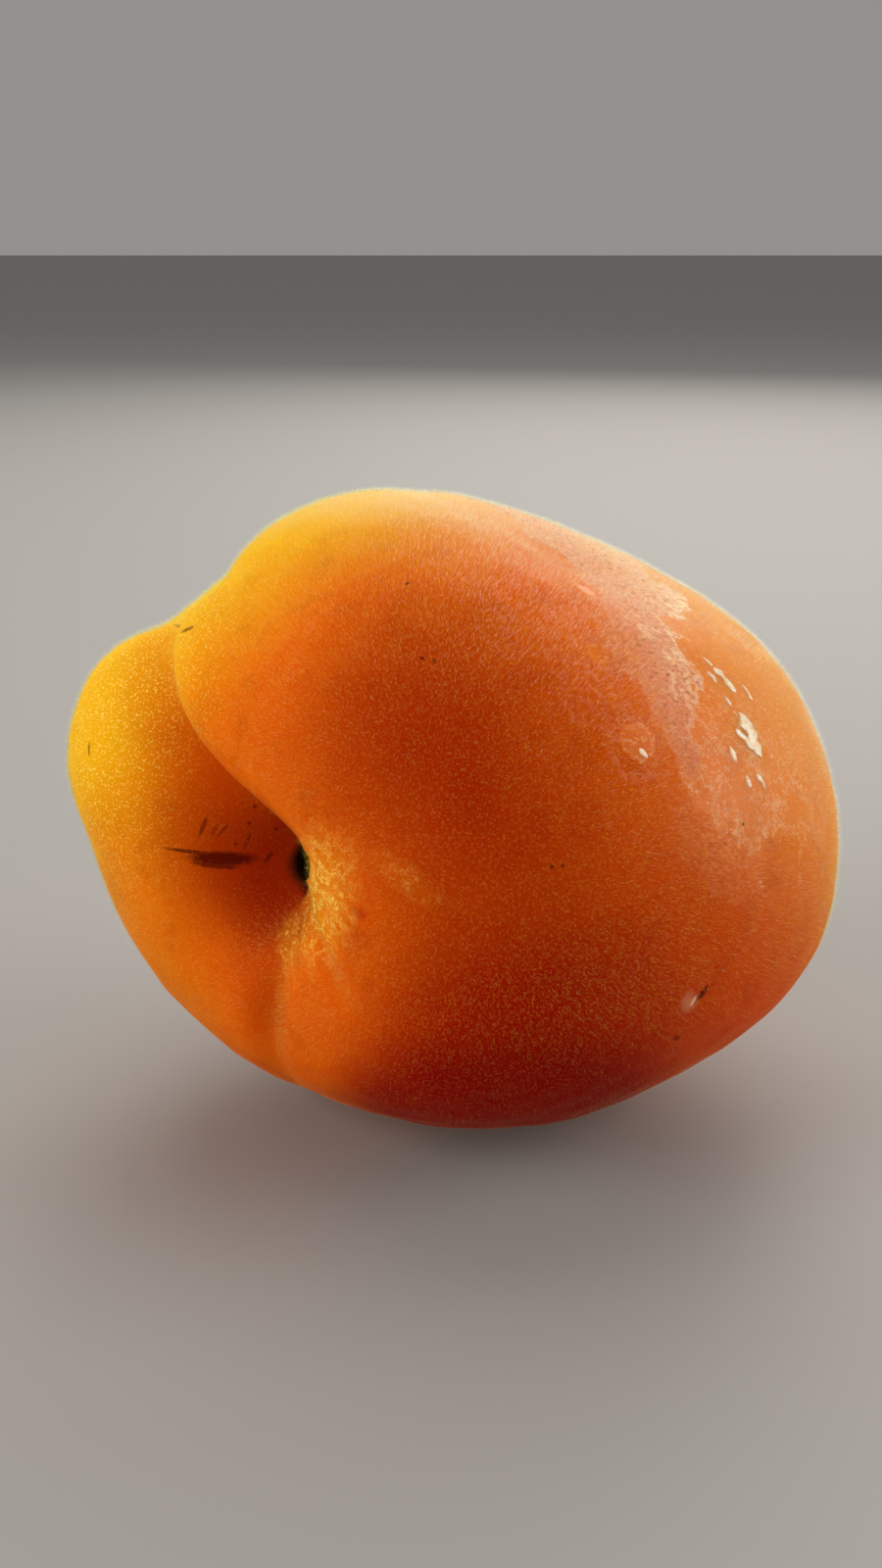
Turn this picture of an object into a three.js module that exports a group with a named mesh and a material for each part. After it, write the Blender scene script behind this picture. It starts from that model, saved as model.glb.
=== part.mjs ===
// A ripe apricot, 55 mm wide, lying on its side on a small flat spot.
//
// Millimetres, +Z up. The stem pit faces -Y and -X, the tip faces the other way, and the
// suture runs from the pit over the upper left to the tip. The large cheek is on the right
// of the suture and the small lobe on its left. The origin is under the middle of the
// fruit, on the surface that it rests on.

import * as THREE from 'three';

const { degToRad, smoothstep } = THREE.MathUtils;

// ---- driving dimensions, in millimetres and degrees ----

// The point that every radius is measured from.
const MIDDLE = new THREE.Vector3(-0.2, -1.8, 22.15);

// Half lengths of the plain body, from the middle towards each side.
const HALF_TO_STEM = 21.6;
const HALF_TO_TIP = 26.2;
const HALF_TO_SUTURE = 24.2;
const HALF_TO_BACK = 23.7;
const HALF_TO_CHEEK = 21.0;
const HALF_TO_LOBE = 22.8;
const BODY_POWER = 2.15; // 2 is an ellipsoid, more is squarer

// A direction is an azimuth, from -Y towards +X, and a height above the horizon.
const STEM_DIRECTION = direction(-36, -2);
const SUTURE_DIRECTION = direction(-105, 42);

// Soft rises (+) and hollows (-) of the flesh: where, how wide, how high, how flat on top.
const SWELLINGS = [
  { at: direction(-79, 20), width: 20, height: 3.9, power: 3 }, // small lobe
  { at: direction(-90, -10), width: 36, height: 2.7, power: 2 }, // below the lobe
  { at: direction(-91, 25), width: 9, height: 0.35, power: 2 }, // shoulder of the lobe
  { at: direction(-96, 33), width: 5, height: -0.6, power: 2 }, // dip behind the shoulder
  { at: direction(-90, 45), width: 6, height: -0.6, power: 2 }, // notch over the suture
  { at: direction(-62, 43), width: 24, height: -1.6, power: 2 }, // crown by the suture
  { at: direction(108, 67), width: 27, height: -3.4, power: 2 }, // flattened upper flank
  { at: direction(96, 8), width: 35, height: 2.5, power: 2 }, // far end of the cheek
  { at: direction(80, -23), width: 23, height: 2.1, power: 2 }, // its lower side
  { at: direction(-16, -74), width: 27, height: -2.0, power: 2 }, // base
  { at: direction(-46, -53), width: 13, height: -0.4, power: 2 }, // below the pit
];

// Distances along the skin are taken on a ball of this radius.
const SKIN_BALL = 23.0;

// The suture: a fold whose cheek side is steep and whose lobe side is a slope.
const SUTURE_BEND = 6; // degrees that it leans at the girth
const SUTURE_TWIST = -3.6; // degrees that it swings from stem half to tip half
const SUTURE_SWERVE = -4.5; // degrees that it swings towards the lobe by the cavity
const SWERVE_AT = 8;
const SWERVE_REACH = 6;
const FOLD_DEPTH = 0.6; // all the way to the tip
const FOLD_DEEPER = [
  { depth: 3.3, at: 14, reach: 12 }, // between the stem and the top
  { depth: 1.4, at: 8, reach: 6 }, // at the mouth of the cavity
];
const FOLD_CHEEK_WIDTH = 1.3;
const FOLD_LOBE_WIDTH = 4.5;
const FOLD_POWER = 0.9;
const FOLD_START = 4;
const FOLD_END = [62, 71];
const TROUGH_DEPTH = 1.2;
const TROUGH_CHEEK_WIDTH = 3;
const TROUGH_LOBE_WIDTH = 8;
const TROUGH_AT = 12;
const TROUGH_REACH = 10;
const STEP_DEPTH = 0.8; // the lobe stands this much lower than the cheek
const STEP_EDGE = 1.5;
const STEP_WIDTH = 11;
const STEP_AT = 18;
const STEP_REACH = 14;

// The stem cavity and the round pit that the stalk left in it, a little to the left.
const PIT_DIRECTION = direction(-42.5, -1);
const CAVITY_DEPTH = 6.8;
const CAVITY_WIDTH = 7.6;
const CAVITY_LEAN = -1.2; // narrower towards the cheek, wider towards the lobe
const CAVITY_POWER = 1.6;
const PIT_DEPTH = 4.0;
const PIT_RADIUS = 2.0;
const PIT_EDGE = 0.5;

// Shallow valleys that run out of the cavity: the side they lie on, counted from the
// suture towards the cheek, their width and depth, and where along them they are deepest.
const VALLEYS = [
  { side: -122, width: 1.5, depth: 1.0, at: 10, reach: 6.5 },
  { side: -175, width: 0.9, depth: 0.9, at: 5.5, reach: 3 },
  { side: 100, width: 3.5, depth: 0.5, at: 10, reach: 6 },
];

// The dimple of the tip.
const DIMPLE_DEPTH = 0.7;
const DIMPLE_WIDTH = 2.4;

// Mesh of the skin: rings between the two ends, and points around each ring.
const RINGS = 61;
const AROUND = 92;
const RING_CROWDING = 0.5; // closer at both ends
const AROUND_CROWDING = 0.6; // closer by the suture

// ---- the shape, as a distance from the middle in every direction ----

function direction(azimuth, height) {
  const [turn, rise] = [degToRad(azimuth), degToRad(height)];
  return new THREE.Vector3(
    Math.sin(turn) * Math.cos(rise),
    -Math.cos(turn) * Math.cos(rise),
    Math.sin(rise)
  );
}

// Three square axes: out of the stem pit, to the suture, and to the large cheek.
const TO_STEM = STEM_DIRECTION;
const TO_SUTURE = SUTURE_DIRECTION.clone().projectOnPlane(TO_STEM).normalize();
const TO_CHEEK = new THREE.Vector3().crossVectors(TO_SUTURE, TO_STEM);

// A bell curve: 1 at zero, falling away over the given width.
const bell = (distance, width, power = 2) => Math.exp(-Math.pow(Math.abs(distance) / width, power));

// The angle about the stem axis at which the suture lies, for an angle down from the stem.
function sutureAngle(down) {
  const swerve = SUTURE_SWERVE * bell(SKIN_BALL * down - SWERVE_AT, SWERVE_REACH);
  return degToRad(SUTURE_BEND * Math.sin(down) + SUTURE_TWIST * Math.sin(2 * down) + swerve);
}

function wrapped(angle) {
  return Math.atan2(Math.sin(angle), Math.cos(angle));
}

function bodyRadius(stem, suture, cheek) {
  const share = (part, ahead, behind) =>
    Math.pow(Math.abs(part) / (part > 0 ? ahead : behind), BODY_POWER);
  const sum =
    share(stem, HALF_TO_STEM, HALF_TO_TIP) +
    share(suture, HALF_TO_SUTURE, HALF_TO_BACK) +
    share(cheek, HALF_TO_CHEEK, HALF_TO_LOBE);
  return Math.pow(sum, -1 / BODY_POWER);
}

function swelling(outward) {
  let height = 0;
  for (const swell of SWELLINGS) {
    const chord = outward.distanceTo(swell.at);
    height += swell.height * bell(chord, degToRad(swell.width), swell.power);
  }
  return height;
}

// How far the suture sinks the skin, by the distance along it and the angle off it.
function sutureDepth(along, down, off) {
  const sideways = SKIN_BALL * Math.sin(down);
  const across = sideways * (Math.cos(off) > 0 ? Math.sin(off) : Math.sign(off));
  const onCheek = across > 0;
  const facing = smoothstep(Math.cos(off), -0.5, 0.3);

  const ends = smoothstep(along, 0, FOLD_START) * (1 - smoothstep(along, ...FOLD_END));
  let foldDepth = FOLD_DEPTH;
  for (const { depth, at, reach } of FOLD_DEEPER) foldDepth += depth * bell(along - at, reach);
  const foldWidth = onCheek ? FOLD_CHEEK_WIDTH : FOLD_LOBE_WIDTH;
  const fold = foldDepth * ends * bell(across, foldWidth, FOLD_POWER);

  const troughWidth = onCheek ? TROUGH_CHEEK_WIDTH : TROUGH_LOBE_WIDTH;
  const trough = TROUGH_DEPTH * bell(across, troughWidth) * bell(along - TROUGH_AT, TROUGH_REACH);

  const lowered = smoothstep(-across / STEP_EDGE, -1, 1) * bell(Math.min(across, 0), STEP_WIDTH);
  const step = STEP_DEPTH * lowered * bell(along - STEP_AT, STEP_REACH);

  return (fold + trough + step) * facing;
}

function stemEndDepth(outward, along, down, around) {
  const offPit = SKIN_BALL * outward.distanceTo(PIT_DIRECTION);
  const width = CAVITY_WIDTH + CAVITY_LEAN * Math.sin(around);
  let depth = CAVITY_DEPTH * bell(offPit, width, CAVITY_POWER);
  depth += PIT_DEPTH * (1 - smoothstep(offPit, PIT_RADIUS - PIT_EDGE, PIT_RADIUS + PIT_EDGE));
  for (const valley of VALLEYS) {
    const off = around - degToRad(valley.side);
    const across = SKIN_BALL * Math.sin(down) * Math.sin(off);
    const facing = smoothstep(Math.cos(off), 0, 0.5);
    depth += valley.depth * bell(across, valley.width) * bell(along - valley.at, valley.reach) * facing;
  }
  return depth;
}

// A point of the skin, by its angle down from the stem and its angle off the suture.
function skinPoint(down, off) {
  const around = off + sutureAngle(down);
  const stem = Math.cos(down);
  const suture = Math.sin(down) * Math.cos(around);
  const cheek = Math.sin(down) * Math.sin(around);
  const outward = new THREE.Vector3()
    .addScaledVector(TO_STEM, stem)
    .addScaledVector(TO_SUTURE, suture)
    .addScaledVector(TO_CHEEK, cheek);

  const along = SKIN_BALL * down;
  const toTip = SKIN_BALL * (Math.PI - down);
  let radius = bodyRadius(stem, suture, cheek) + swelling(outward);
  radius -= sutureDepth(along, down, wrapped(off));
  radius -= stemEndDepth(outward, along, down, around);
  radius -= DIMPLE_DEPTH * bell(toTip, DIMPLE_WIDTH);

  const point = outward.multiplyScalar(radius).add(MIDDLE);
  point.z = Math.max(point.z, 0); // the flat spot that it lies on
  return point;
}

// ---- the closed skin: a point at each end, and rings of points between them ----

function skinGeometry() {
  const positions = [];
  const faces = [];
  const fullTurn = 2 * Math.PI;

  positions.push(...skinPoint(0, 0).toArray());
  for (let ring = 1; ring <= RINGS; ring++) {
    const part = ring / (RINGS + 1);
    const down = Math.PI * part - (RING_CROWDING / 2) * Math.sin(fullTurn * part);
    for (let i = 0; i < AROUND; i++) {
      const turn = (fullTurn * i) / AROUND;
      const off = turn - AROUND_CROWDING * Math.sin(turn);
      positions.push(...skinPoint(down, off).toArray());
    }
  }
  positions.push(...skinPoint(Math.PI, 0).toArray());

  const tip = positions.length / 3 - 1;
  const index = (ring, i) => 1 + (ring - 1) * AROUND + (i % AROUND);
  for (let i = 0; i < AROUND; i++) {
    faces.push(0, index(1, i + 1), index(1, i));
    faces.push(tip, index(RINGS, i), index(RINGS, i + 1));
    for (let ring = 1; ring < RINGS; ring++) {
      const [a, b] = [index(ring, i), index(ring, i + 1)];
      const [c, d] = [index(ring + 1, i), index(ring + 1, i + 1)];
      faces.push(a, b, c, b, d, c);
    }
  }

  const geometry = new THREE.BufferGeometry();
  geometry.setAttribute('position', new THREE.Float32BufferAttribute(positions, 3));
  geometry.setIndex(faces);
  geometry.computeVertexNormals();
  return geometry;
}

// ---- the part ----

const ripeSkin = new THREE.MeshStandardMaterial({
  color: '#e0781e',
  roughness: 0.55,
  metalness: 0,
});

const apricot = new THREE.Mesh(skinGeometry(), ripeSkin);
apricot.name = 'apricot';

const group = new THREE.Group();
group.add(apricot);

export default group;
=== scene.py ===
"""A whole ripe apricot lying on its side: velvety skin, a deep suture and an open stem pit."""
import math

import bpy
import numpy as np
from mathutils import Matrix


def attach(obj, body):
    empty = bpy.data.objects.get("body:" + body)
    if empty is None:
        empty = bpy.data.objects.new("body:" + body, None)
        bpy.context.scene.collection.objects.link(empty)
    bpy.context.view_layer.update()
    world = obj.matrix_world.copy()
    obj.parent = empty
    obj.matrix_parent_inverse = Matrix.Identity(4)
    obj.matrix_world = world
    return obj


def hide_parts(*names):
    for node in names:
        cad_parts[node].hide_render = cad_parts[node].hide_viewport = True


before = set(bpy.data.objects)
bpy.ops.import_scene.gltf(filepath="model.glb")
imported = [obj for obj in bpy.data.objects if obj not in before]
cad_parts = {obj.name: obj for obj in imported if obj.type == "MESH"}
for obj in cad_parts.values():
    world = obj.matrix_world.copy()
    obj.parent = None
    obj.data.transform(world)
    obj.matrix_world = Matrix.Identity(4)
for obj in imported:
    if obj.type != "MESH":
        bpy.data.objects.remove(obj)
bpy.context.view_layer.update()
MM = 0.001


# ---- Camera -------------------------------------------------------------------------
# A short portrait lens in front of the stem end. It stands above the fruit and looks 17
# degrees down, so that the fruit sits just under the picture's middle.

MIDDLE = np.array((-0.2, -1.8, 22.15))  # mm, the point that the fruit's radii start from
VIEW_DOWN = math.radians(17)
LENS = 42.75  # on the 36 mm side of the film
AIM_DOWN = VIEW_DOWN + 0.01368  # the fruit's middle is a little under the lens axis
LEVEL_DISTANCE = 127.0
SIDEWAYS = -0.91

camera_data = bpy.data.cameras.new("camera")
camera_data.lens = LENS
camera_data.sensor_width = 36
camera_data.clip_start = 0.01
camera = bpy.data.objects.new("camera", camera_data)
bpy.context.collection.objects.link(camera)
camera.location = (
    (MIDDLE[0] + SIDEWAYS) * MM,
    (MIDDLE[1] - LEVEL_DISTANCE) * MM,
    (MIDDLE[2] + LEVEL_DISTANCE * math.tan(AIM_DOWN)) * MM,
)
camera.rotation_euler = (math.pi / 2 - VIEW_DOWN, 0, 0)
bpy.context.scene.camera = camera


# ---- The skin's form ----------------------------------------------------------------
# One closed skin over soft flesh, grown as a single piece: a squarish ball with a large
# cheek and a small lobe, folded in along the suture and sunk where the stalk has gone.


def direction(azimuth, height):
    """Unit vector: degrees round from -Y towards +X, and degrees above the horizon."""
    turn, rise = np.radians(azimuth), np.radians(height)
    return np.array((np.sin(turn) * np.cos(rise), -np.cos(turn) * np.cos(rise), np.sin(rise)))


def bell(distance, width, power=2.0):
    """exp(-(|distance| / width) ** power): 1 in the middle, falling away over the width."""
    return np.exp(-((np.abs(distance) / width) ** power))


def step_up(value, low, high):
    """0 below low, 1 above high, and 3t^2 - 2t^3 between them."""
    t = np.clip((value - low) / (high - low), 0, 1)
    return t * t * (3 - 2 * t)


HALF_LENGTHS = dict(stem=21.6, tip=26.2, suture=24.2, back=23.7, cheek=21.0, lobe=22.8)
BODY_POWER = 2.15  # 2 is an ellipsoid, more is squarer
SKIN_BALL = 23.0  # mm, the radius of the ball that distances along the skin are taken on
TO_STEM = direction(-36, -2)
TO_SUTURE = direction(-105, 42)
TO_SUTURE = TO_SUTURE - TO_STEM * (TO_SUTURE @ TO_STEM)
TO_SUTURE = TO_SUTURE / np.linalg.norm(TO_SUTURE)
TO_CHEEK = np.cross(TO_SUTURE, TO_STEM)

# Soft rises and hollows: azimuth, height, width in degrees, rise in mm, power.
SWELLINGS = (
    (-79, 20, 20, 3.9, 3),  # small lobe
    (-90, -10, 36, 2.7, 2),  # below the lobe
    (-91, 25, 9, 0.35, 2),  # shoulder of the lobe
    (-96, 33, 5, -0.6, 2),  # dip behind the shoulder
    (-90, 45, 6, -0.6, 2),  # notch over the suture
    (-62, 43, 24, -1.6, 2),  # crown by the suture
    (108, 67, 27, -3.4, 2),  # flattened upper flank
    (96, 8, 35, 2.5, 2),  # far end of the cheek
    (80, -23, 23, 2.1, 2),  # its lower side
    (-16, -74, 27, -2.0, 2),  # base
    (-46, -53, 13, -0.4, 2),  # below the pit
)

# The suture's line: degrees that it leans at the girth, swings from the stem half to the tip
# half, and swerves by the cavity.
SUTURE_BEND = 6
SUTURE_TWIST = -3.6
SUTURE_SWERVE = -4.5
SWERVE_AT, SWERVE_REACH = 8, 6

# The suture's fold, steep on the cheek and sloping on the lobe, in mm.
FOLD_DEPTH = 0.6  # all the way to the tip
FOLD_DEEPER = ((3.3, 14, 12), (1.4, 8, 6))  # depth, where along the suture, reach
FOLD_CHEEK_WIDTH, FOLD_LOBE_WIDTH = 1.3, 4.5
FOLD_POWER = 0.9
FOLD_START = 4
FOLD_END = (62, 71)
TROUGH_DEPTH = 1.2
TROUGH_CHEEK_WIDTH, TROUGH_LOBE_WIDTH = 3.0, 8.0
TROUGH_AT, TROUGH_REACH = 12, 10
STEP_DEPTH = 0.8  # the lobe stands this much lower than the cheek
STEP_EDGE, STEP_WIDTH = 1.5, 11
STEP_AT, STEP_REACH = 18, 14

# The stem cavity, the pit that the stalk left in it, and the tip's dimple, in mm.
TO_PIT = direction(-42.5, -1)
CAVITY_DEPTH = 6.8
CAVITY_WIDTH = 7.6
CAVITY_LEAN = -1.2  # narrower towards the cheek, wider towards the lobe
CAVITY_POWER = 1.6
PIT_DEPTH = 4.0
PIT_RADIUS, PIT_EDGE = 2.0, 0.5
DIMPLE_DEPTH, DIMPLE_WIDTH = 0.7, 2.4

# Valleys out of the stem cavity: side in degrees, width, depth, where deepest, reach.
VALLEYS = ((-122, 1.5, 1.0, 10, 6.5), (-175, 0.9, 0.9, 5.5, 3), (100, 3.5, 0.5, 10, 6))

# Unevenness of the skin: height and wavelength in mm, and seed.
UNEVENNESS = ((0.05, 9, 1), (0.022, 3.2, 2))
LIP_FOLDS = (0.07, 1.5, 3)
LIP_BUMPS = (0.035, 0.8, 4)

# The lip of the pit, wrinkled on one side, and the radial puckers round the pit.
LIP_AT, LIP_REACH, LIP_POWER = 5, 4, 4
LIP_SIDE = 150  # degrees from the suture towards the cheek
PUCKER_AT, PUCKER_REACH = 3.0, 2.2
PUCKER_HEIGHT = 0.05
PUCKERS = 17  # all the way round
PUCKER_SWAY = 0.8

PRESSED = 0.25  # mm above and below the table over which the skin is pressed flat
WAVES = 28  # plane waves in a sum of them


def suture_lean(down):
    """Angle about the stem at which the suture lies, by the angle down from the stem."""
    swerve = SUTURE_SWERVE * bell(SKIN_BALL * down - SWERVE_AT, SWERVE_REACH)
    return np.radians(SUTURE_BEND * np.sin(down) + SUTURE_TWIST * np.sin(2 * down) + swerve)


def bearings(outward):
    """Angle down from the stem, angle about it from the suture side to the cheek, and the
    same less the lean of the suture's own line."""
    down = np.arccos(np.clip(outward @ TO_STEM, -1, 1))
    around = np.arctan2(outward @ TO_CHEEK, outward @ TO_SUTURE)
    off = around - suture_lean(down)
    return down, around, np.arctan2(np.sin(off), np.cos(off))


def body_radius(outward):
    """(|s/S|^p + |v/V|^p + |c/C|^p)^(-1/p), with its own half length on every side."""
    total = 0
    for axis, ahead, behind in (
        (TO_STEM, "stem", "tip"),
        (TO_SUTURE, "suture", "back"),
        (TO_CHEEK, "cheek", "lobe"),
    ):
        part = outward @ axis
        half = np.where(part > 0, HALF_LENGTHS[ahead], HALF_LENGTHS[behind])
        total = total + (np.abs(part) / half) ** BODY_POWER
    radius = total ** (-1 / BODY_POWER)
    for azimuth, height, width, rise, power in SWELLINGS:
        chord = np.linalg.norm(outward - direction(azimuth, height), axis=-1)
        radius = radius + rise * bell(chord, np.radians(width), power)
    return radius


def suture_depth(down, off):
    """A cusp across the suture, steep on the cheek and sloping on the lobe, plus a wide
    trough and a step down to the lobe; each is a bell along the way from stem to tip."""
    along = SKIN_BALL * down
    across = SKIN_BALL * np.sin(down) * np.where(np.cos(off) > 0, np.sin(off), np.sign(off))
    on_cheek = across > 0
    ends = step_up(along, 0, FOLD_START) * (1 - step_up(along, *FOLD_END))
    fold = FOLD_DEPTH
    for depth, at, reach in FOLD_DEEPER:
        fold = fold + depth * bell(along - at, reach)
    fold_width = np.where(on_cheek, FOLD_CHEEK_WIDTH, FOLD_LOBE_WIDTH)
    fold = fold * ends * bell(across, fold_width, FOLD_POWER)
    trough_width = np.where(on_cheek, TROUGH_CHEEK_WIDTH, TROUGH_LOBE_WIDTH)
    trough = TROUGH_DEPTH * bell(across, trough_width) * bell(along - TROUGH_AT, TROUGH_REACH)
    lobe_side = step_up(-across / STEP_EDGE, -1, 1)
    lowered = STEP_DEPTH * lobe_side * bell(np.minimum(across, 0), STEP_WIDTH)
    lowered = lowered * bell(along - STEP_AT, STEP_REACH)
    return (fold + trough + lowered) * step_up(np.cos(off), -0.5, 0.3)


def stem_end_depth(outward, down, around):
    """The cavity as a bell that is narrower on the cheek's side, the pit as a step, and the
    valleys as bells across and along."""
    off_pit = SKIN_BALL * np.linalg.norm(outward - TO_PIT, axis=-1)
    depth = CAVITY_DEPTH * bell(off_pit, CAVITY_WIDTH + CAVITY_LEAN * np.sin(around), CAVITY_POWER)
    pit = 1 - step_up(off_pit, PIT_RADIUS - PIT_EDGE, PIT_RADIUS + PIT_EDGE)
    depth = depth + PIT_DEPTH * pit
    along = SKIN_BALL * down
    for side, width, deep, at, reach in VALLEYS:
        off = around - np.radians(side)
        across = SKIN_BALL * np.sin(down) * np.sin(off)
        facing = step_up(np.cos(off), 0, 0.5)
        depth = depth + deep * bell(across, width) * bell(along - at, reach) * facing
    return depth


def undulation(points, wavelength, seed):
    """A sum of plane waves of about one wavelength in seeded directions, of unit spread."""
    draw = np.random.default_rng(seed)
    heading = draw.normal(size=(WAVES, 3))
    heading /= np.linalg.norm(heading, axis=1, keepdims=True)
    number = 2 * np.pi / (wavelength * draw.uniform(0.7, 1.4, WAVES))
    phase = draw.uniform(0, 2 * np.pi, WAVES)
    total = np.cos((points @ heading.T) * number + phase).sum(axis=-1)
    return total * math.sqrt(2 / WAVES)


def skin_point(outward):
    """The skin in mm along unit directions: the body less its folds, gently uneven, drawn
    into fine wrinkles at the lip of the pit, and pressed flat where it lies."""
    down, around, off = bearings(outward)
    along = SKIN_BALL * down
    radius = body_radius(outward) - suture_depth(down, off)
    radius = radius - stem_end_depth(outward, down, around)
    radius = radius - DIMPLE_DEPTH * bell(SKIN_BALL * (math.pi - down), DIMPLE_WIDTH)

    ball = outward * SKIN_BALL
    for rise, *wave in UNEVENNESS:
        radius = radius + rise * undulation(ball, *wave)
    wrinkled_side = step_up(np.cos(around - np.radians(LIP_SIDE)), -0.35, 0.35)
    lip = bell(along - LIP_AT, LIP_REACH, LIP_POWER) * wrinkled_side
    rise, *wave = LIP_FOLDS
    radius = radius - rise * lip * np.abs(undulation(ball, *wave))
    rise, *wave = LIP_BUMPS
    radius = radius + rise * lip * undulation(ball, *wave)
    spokes = np.cos(PUCKERS * around + PUCKER_SWAY * np.sin(3 * around))
    radius = radius + PUCKER_HEIGHT * (bell(along - PUCKER_AT, PUCKER_REACH) * spokes)

    point = outward * radius[..., None] + MIDDLE
    height = point[..., 2]
    press = np.clip(0.5 + 0.5 * height / PRESSED, 0, 1)
    point[..., 2] = height * press + PRESSED * press * (1 - press)
    return point


# Rings of points from the stem to the tip, closer at both ends and closer by the suture.
RINGS, AROUND = 280, 350
RING_CROWDING = 0.5
AROUND_CROWDING = 0.6
part = np.arange(1, RINGS + 1) / (RINGS + 1)
ring_down = np.pi * part - RING_CROWDING / 2 * np.sin(2 * np.pi * part)
turn = 2 * np.pi * np.arange(AROUND) / AROUND
turn = turn - AROUND_CROWDING * np.sin(turn)
ring_down, ring_off = np.meshgrid(ring_down, turn, indexing="ij")
ring_around = ring_off + suture_lean(ring_down)
ring_outward = (
    np.cos(ring_down)[..., None] * TO_STEM
    + (np.sin(ring_down) * np.cos(ring_around))[..., None] * TO_SUTURE
    + (np.sin(ring_down) * np.sin(ring_around))[..., None] * TO_CHEEK
)
skin_outward = np.vstack((TO_STEM[None], ring_outward.reshape(-1, 3), -TO_STEM[None]))
skin_points = skin_point(skin_outward)


def capped_rings(rings, around):
    """Triangles of a closed skin whose points are one pole, rings of points, one pole."""
    ring, spoke = np.meshgrid(np.arange(rings - 1), np.arange(around), indexing="ij")
    here, beside = 1 + ring * around + spoke, 1 + ring * around + (spoke + 1) % around
    first, last = 1 + np.arange(around), 1 + (rings - 1) * around + np.arange(around)
    return np.vstack((
        np.stack((here, beside, here + around), -1).reshape(-1, 3),
        np.stack((beside, beside + around, here + around), -1).reshape(-1, 3),
        np.stack((0 * first, np.roll(first, -1), first), -1),
        np.stack((0 * last + 1 + rings * around, last, np.roll(last, -1)), -1),
    ))


def closed_mesh(name, points, faces):
    """A mesh object at the origin from points in mm and triangles."""
    mesh = bpy.data.meshes.new(name)
    mesh.vertices.add(len(points))
    mesh.vertices.foreach_set("co", (points * MM).ravel())
    mesh.loops.add(faces.size)
    mesh.loops.foreach_set("vertex_index", faces.ravel())
    mesh.polygons.add(len(faces))
    mesh.polygons.foreach_set("loop_start", np.arange(0, faces.size, 3))
    mesh.update(calc_edges=True)
    mesh.validate()
    mesh.shade_smooth()
    piece = bpy.data.objects.new(name, mesh)
    bpy.context.collection.objects.link(piece)
    return piece


skin_faces = capped_rings(RINGS, AROUND)
skin = closed_mesh("apricot_skin", skin_points, skin_faces)


# ---- Where the velvet is worn, wet or thick -------------------------------------------
# A dry, thick band of fuzz runs down the upper right; beside it the fuzz is wet and lies
# flat with map-like borders. These, the depth of the folds and the distance from the pit
# are kept on the skin's points for its finish and fuzz.

# A route is a list of azimuths and heights in degrees; its widths, at the same stops, are
# chords as shares of the radius.
DRY_ROUTE = (
    (165, 58), (128, 56), (100, 54), (80, 52), (61, 49), (53, 44), (51.5, 40), (50.5, 35.5),
    (49, 32.5), (47.5, 29.5), (46, 25), (45.5, 20),
)
DRY_WIDTHS = (0.18, 0.19, 0.19, 0.16, 0.18, 0.19, 0.18, 0.16, 0.13, 0.11, 0.09, 0.06)
VEIL_ROUTE = ((40, 60), (33, 48), (30, 36), (37, 26), (48, 12), (52, 2))
VEIL_WIDTHS = (0.10, 0.12, 0.13, 0.10, 0.12, 0.13)
WET_AT, WET_REACH = (68, 24), 0.50
WET_LEVEL = 0.55  # of the bell round it, where the wet begins
WET_PATCHES = ((35, 26, 0.06), (58.5, 59, 0.034), (73, 43, 0.05), (67, 38, 0.05), (36, 43, 0.04))
LOW_FADE = 0.3  # taken off the dry band low down
LOW_FADE_SPAN = (0.35, 0.60)  # sines of the heights at which it starts and ends
BORDER_WAVES = ((0.5, 5.5, 11), (0.4, 2.2, 12))  # share, wavelength in mm, seed
DRY_RAGGED, VEIL_RAGGED, WET_RAGGED, PATCH_RAGGED = 0.14, 0.3, 0.3, 0.15  # shares of the waves


def nearness(outward, route, widths):
    """1 on a route of directions, falling to 0 at its width: the largest over its legs of
    one less the chord to the nearest point of the leg, as a share of the width there."""
    best = np.full(outward.shape[:-1], -9.0)
    stops = [direction(*stop) for stop in route]
    for start, end, wide, wide_end in zip(stops, stops[1:], widths, widths[1:]):
        leg = end - start
        t = np.clip((outward - start) @ leg / (leg @ leg), 0, 1)
        gap = np.linalg.norm(outward - start - t[..., None] * leg, axis=-1)
        best = np.maximum(best, 1 - gap / (wide + (wide_end - wide) * t))
    return best


def off_direction(outward, azimuth, height):
    """The chord from a direction, as a share of the radius."""
    return np.linalg.norm(outward - direction(azimuth, height), axis=-1)


skin_ball = skin_outward * SKIN_BALL
border = sum(share * undulation(skin_ball, *wave) for share, *wave in BORDER_WAVES)
dry_field = nearness(skin_outward, DRY_ROUTE, DRY_WIDTHS) + DRY_RAGGED * border
dry_field = dry_field - LOW_FADE * (1 - step_up(skin_outward[:, 2], *LOW_FADE_SPAN))
veil_field = nearness(skin_outward, VEIL_ROUTE, VEIL_WIDTHS) + VEIL_RAGGED * border
wet_zone = bell(off_direction(skin_outward, *WET_AT), WET_REACH, 4)
wet_field = wet_zone - WET_LEVEL + WET_RAGGED * border * step_up(wet_zone, 0.02, 0.3)
for azimuth, height, reach in WET_PATCHES:
    # 1 in the middle of the patch and -0.4 away from it.
    patch = 1.4 * bell(off_direction(skin_outward, azimuth, height), reach, 4) - 0.4
    wet_field = np.maximum(wet_field, patch + PATCH_RAGGED * border)
    dry_field = np.minimum(dry_field, -patch)
dry = step_up(dry_field, -0.02, 0.15)
wet = step_up(wet_field, 0.0, 0.2) * (1 - dry)
skin_down, skin_around, skin_off = bearings(skin_outward)
sunk = suture_depth(skin_down, skin_off) + stem_end_depth(skin_outward, skin_down, skin_around)
off_pit = SKIN_BALL * np.linalg.norm(skin_outward - TO_PIT, axis=1)

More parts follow.
